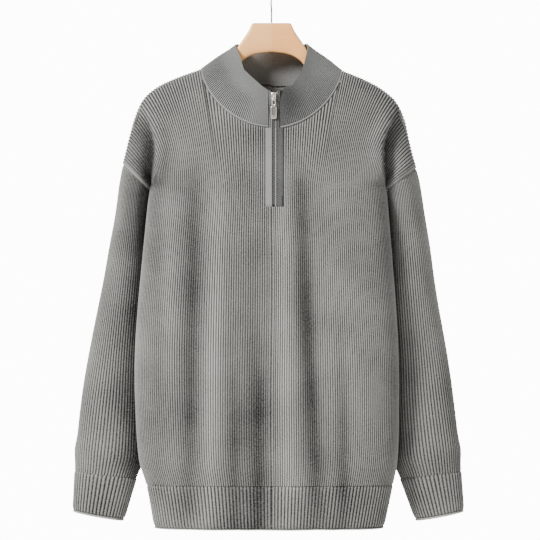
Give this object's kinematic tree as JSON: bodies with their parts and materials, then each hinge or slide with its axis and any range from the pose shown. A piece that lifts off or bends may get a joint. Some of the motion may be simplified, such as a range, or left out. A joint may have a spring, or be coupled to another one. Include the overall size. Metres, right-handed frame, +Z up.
{
  "type": "quarter zip sweater on a wooden hanger",
  "caption": "Long-sleeved ribbed knit sweater with drop shoulders, a stand-up collar and a short closed front zip, hanging on a curved wooden hanger with a wire hook.",
  "frame": {"origin": "inner bearing point of the hanger hook's crown, where a rail carries it", "axes": "+Z up, -Y towards the viewer of the garment's front, +X to the viewer's right"},
  "size_m": [0.6034, 0.141, 0.8665],
  "materials": {
    "rib_knit": "matte ribbed knit",
    "rib_band": "matte coarse rib",
    "collar_knit": "matte fine rib",
    "seam_knit": "matte smooth seam",
    "facing_knit": "matte plain knit",
    "zip_tape": "woven tape",
    "zip_teeth": "moulded teeth",
    "nickel": "satin nickel",
    "beech": "clear satin lacquer",
    "hook_steel": "bright wire"
  },
  "bodies": {
    "sweater": {"front_panel": "rib_knit", "back_panel": "rib_knit", "armhole_welt_left": "seam_knit", "armhole_welt_right": "seam_knit", "sleeve_left": "rib_knit", "sleeve_right": "rib_knit", "cuff_left": "rib_band", "cuff_right": "rib_band", "hem_front_left": "rib_band", "hem_front_right": "rib_band", "hem_back_left": "rib_band", "hem_back_right": "rib_band", "collar": "collar_knit", "neck_welt": "seam_knit", "placket_left": "facing_knit", "placket_right": "facing_knit", "collar_facing_left": "facing_knit", "collar_facing_right": "facing_knit", "zip_tape": "zip_tape", "zip_chain": "zip_teeth", "zip_slider": "nickel", "hanger_wood": "beech", "hanger_hook": "hook_steel"},
    "pull": {"zip_link": "nickel", "zip_pull": "nickel"}
  },
  "joints": [
    {"name": "pull_swing", "type": "hinge", "parent": "sweater", "child": "pull", "pos_m": [0.0043, -0.0587, -0.2071], "axis": [-1, 0, 0], "range_deg": [0, 150]}
  ]
}
